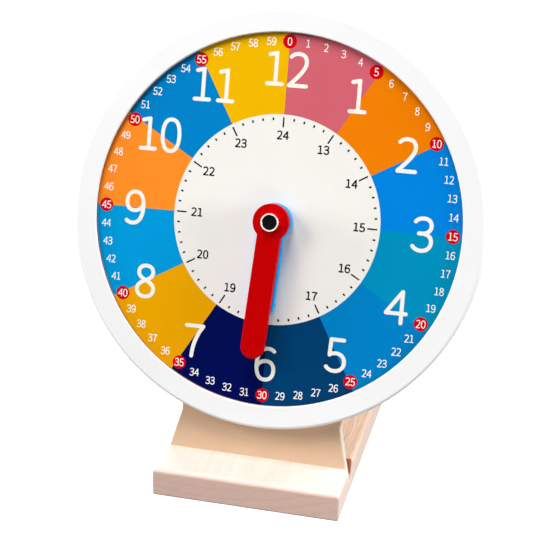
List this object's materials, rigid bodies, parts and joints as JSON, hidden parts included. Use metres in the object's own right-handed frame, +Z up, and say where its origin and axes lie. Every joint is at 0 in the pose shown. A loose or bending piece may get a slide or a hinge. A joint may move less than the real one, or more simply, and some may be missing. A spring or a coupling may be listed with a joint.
{
  "type": "geared teaching clock",
  "caption": "Round demonstration clock on a block stand: coloured hour sectors, bar hands geared together behind the dial, and a setting knob at the back.",
  "frame": {"origin": "middle of the stand's underside, on the surface that it stands on", "axes": "+Z up, the dial faces -Y and leans back 18 degrees, +X to the reader's right"},
  "size_m": [0.301, 0.18, 0.3348],
  "materials": {
    "pine": "sanded, clear sealed",
    "pine_strip": "sanded, unsealed",
    "neck_paint": "beige paint on fibreboard, satin",
    "rim_paint": "white paint on fibreboard, satin",
    "dial_print": "printed in colours, semi-matt",
    "raw_fibreboard": "raw fibreboard",
    "red_paint": "red paint, semi-gloss",
    "blue_paint": "blue paint, semi-gloss",
    "beech": "turned, clear sealed",
    "brass": "turned",
    "steel": "turned, bright",
    "zinc_screw": "zinc plated",
    "chrome": "polished",
    "black_plastic": "moulded, matt",
    "gear_plastic": "moulded acetal, natural"
  },
  "bodies": {
    "stand": {"stand_base": "pine", "slot_wedge": "pine_strip", "back_board": "neck_paint", "back_screws": "zinc_screw", "face_rim": "rim_paint", "dial_board": "dial_print", "dial_spacer": "raw_fibreboard", "dial_bush": "brass", "back_bush": "brass", "idler_stud": "steel", "idler_washer": "steel"},
    "minute_train": {"minute_arbor": "steel", "drive_pinion": "gear_plastic", "hand_collar": "black_plastic", "minute_hand": "red_paint", "hub_ferrule": "chrome", "hub_plug": "black_plastic", "spring_washer": "steel", "setting_knob": "beech", "knob_screw": "zinc_screw"},
    "hour_train": {"hour_pipe": "brass", "hour_wheel": "gear_plastic", "hour_hand": "blue_paint"},
    "idler": {"idler_wheel": "gear_plastic", "idler_pinion": "gear_plastic"}
  },
  "joints": [
    {"name": "minute_turn", "type": "hinge", "parent": "stand", "child": "minute_train", "pos_m": [0, -0.00993, 0.19129], "axis": [0, 0.9511, -0.309], "continuous": true},
    {"name": "hour_turn", "type": "hinge", "parent": "stand", "child": "hour_train", "pos_m": [0, -0.00993, 0.19129], "axis": [0, 0.9511, -0.309], "continuous": true},
    {"name": "idler_turn", "type": "hinge", "parent": "stand", "child": "idler", "pos_m": [0, -0.00066, 0.21982], "axis": [0, 0.9511, -0.309], "continuous": true}
  ],
  "couplings": [
    {"joint": "hour_turn", "follows": "minute_turn", "ratio": 0.083333},
    {"joint": "idler_turn", "follows": "minute_turn", "ratio": -0.33333}
  ]
}
